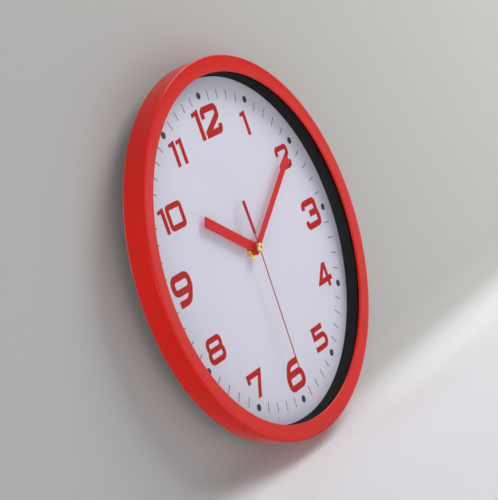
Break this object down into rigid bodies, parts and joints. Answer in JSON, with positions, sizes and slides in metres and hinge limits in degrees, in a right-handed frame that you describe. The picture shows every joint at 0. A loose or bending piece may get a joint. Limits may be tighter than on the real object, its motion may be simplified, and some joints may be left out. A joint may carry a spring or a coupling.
{
  "type": "wall clock",
  "caption": "Round red wall clock with a rounded case, sunk pale dial, numerals, three hands, a geared battery quartz movement and a keyhole back cover.",
  "frame": {"origin": "on the hand axis, in the plane of the wall that the back cover rests on", "axes": "+Z points to 12 o'clock, the dial faces -Y, +Y points into the wall, +X is to the right seen from the front"},
  "size_m": [0.3, 0.0316, 0.3],
  "materials": {
    "case_red": "satin moulded plastic",
    "ring_black": "satin black plastic",
    "lens_clear": "clear polished",
    "dial_grey": "matt printed sheet",
    "numeral_red": "matt printing ink",
    "dot_ink": "matt printing ink",
    "mark_ink": "matt printing ink",
    "cover_plastic": "textured moulded plastic",
    "screw_steel": "zinc plated",
    "rubber_black": "matt",
    "brass": "turned brass",
    "housing_plastic": "moulded plastic",
    "plate_plastic": "natural moulded plastic",
    "gear_plastic": "natural acetal",
    "knob_plastic": "moulded plastic",
    "hand_red": "satin paint on aluminium",
    "second_red": "satin paint on aluminium",
    "steel": "ground",
    "magnet": "sintered",
    "copper": "enamelled winding wire",
    "bobbin_plastic": "moulded plastic",
    "board_green": "solder resist",
    "chip_black": "epoxy",
    "crystal_can": "nickel plated",
    "contact_metal": "nickel plated spring steel",
    "cell_sleeve": "printed sleeve, plain"
  },
  "bodies": {
    "clock_frame": {"case_ring": "case_red", "inner_ring": "ring_black", "lens": "lens_clear", "dial": "dial_grey", "dial_numerals": "numeral_red", "dial_hour_dots": "dot_ink", "dial_minute_marks": "mark_ink", "back_cover": "cover_plastic", "back_cover_screws": "screw_steel", "rubber_washer": "rubber_black", "threaded_bushing": "brass", "bushing_washer": "brass", "bushing_nut": "brass", "movement_front_housing": "housing_plastic", "movement_rear_housing": "housing_plastic", "middle_plate": "plate_plastic", "coil_core": "steel", "coil_bobbin": "bobbin_plastic", "coil_winding": "copper", "stator": "steel", "circuit_board": "board_green", "clock_chip": "chip_black", "quartz_crystal": "crystal_can", "battery_positive_contact": "contact_metal", "battery_negative_contact": "contact_metal"},
    "hour_hand": {"hour_hand": "hand_red", "hour_wheel": "gear_plastic"},
    "minute_hand": {"minute_hand": "hand_red", "cannon_pinion": "gear_plastic"},
    "second_hand": {"second_hand": "second_red", "second_hand_bush": "contact_metal", "second_hand_cap": "brass", "seconds_wheel": "gear_plastic"},
    "intermediate": {"intermediate_wheel": "gear_plastic"},
    "rotor": {"rotor_pinion": "gear_plastic", "rotor_magnet": "magnet"},
    "third": {"third_wheel": "gear_plastic"},
    "centre": {"centre_wheel": "gear_plastic", "clutch_washer": "contact_metal"},
    "minute_works": {"minute_wheel": "gear_plastic"},
    "knob": {"setting_knob": "knob_plastic"},
    "battery": {"battery": "cell_sleeve"}
  },
  "joints": [
    {"name": "second_hand_turn", "type": "hinge", "parent": "clock_frame", "child": "second_hand", "pos_m": [0, -0.02, 0], "axis": [0, 1, 0], "continuous": true},
    {"name": "minute_hand_turn", "type": "hinge", "parent": "clock_frame", "child": "minute_hand", "pos_m": [0, -0.02, 0], "axis": [0, 1, 0], "continuous": true},
    {"name": "hour_hand_turn", "type": "hinge", "parent": "clock_frame", "child": "hour_hand", "pos_m": [0, -0.02, 0], "axis": [0, 1, 0], "continuous": true},
    {"name": "centre_wheel_turn", "type": "hinge", "parent": "clock_frame", "child": "centre", "pos_m": [0, -0.011, 0], "axis": [0, 1, 0], "continuous": true},
    {"name": "third_wheel_turn", "type": "hinge", "parent": "clock_frame", "child": "third", "pos_m": [0.00821, -0.009, -0.0022], "axis": [0, 1, 0], "continuous": true},
    {"name": "intermediate_wheel_turn", "type": "hinge", "parent": "clock_frame", "child": "intermediate", "pos_m": [-0.0056, -0.006, 0.0056], "axis": [0, 1, 0], "continuous": true},
    {"name": "rotor_turn", "type": "hinge", "parent": "clock_frame", "child": "rotor", "pos_m": [-0.01236, -0.006, 0.00741], "axis": [0, 1, 0], "continuous": true},
    {"name": "minute_wheel_turn", "type": "hinge", "parent": "clock_frame", "child": "minute_works", "pos_m": [0.00509, -0.013, 0.00509], "axis": [0, 1, 0], "continuous": true},
    {"name": "setting_knob_turn", "type": "hinge", "parent": "clock_frame", "child": "knob", "pos_m": [0.01186, -0.002, 0.00755], "axis": [0, 1, 0], "continuous": true},
    {"name": "battery_pull", "type": "slide", "parent": "clock_frame", "child": "battery", "axis": [0, 1, 0], "range_m": [0, 0.03]}
  ],
  "couplings": [
    {"joint": "hour_hand_turn", "follows": "minute_hand_turn", "ratio": 0.083333},
    {"joint": "minute_wheel_turn", "follows": "minute_hand_turn", "ratio": -0.33333},
    {"joint": "setting_knob_turn", "follows": "minute_hand_turn", "ratio": 1},
    {"joint": "centre_wheel_turn", "follows": "second_hand_turn", "ratio": 0.016667},
    {"joint": "third_wheel_turn", "follows": "second_hand_turn", "ratio": -0.13333},
    {"joint": "intermediate_wheel_turn", "follows": "second_hand_turn", "ratio": -5},
    {"joint": "rotor_turn", "follows": "second_hand_turn", "ratio": 30}
  ]
}
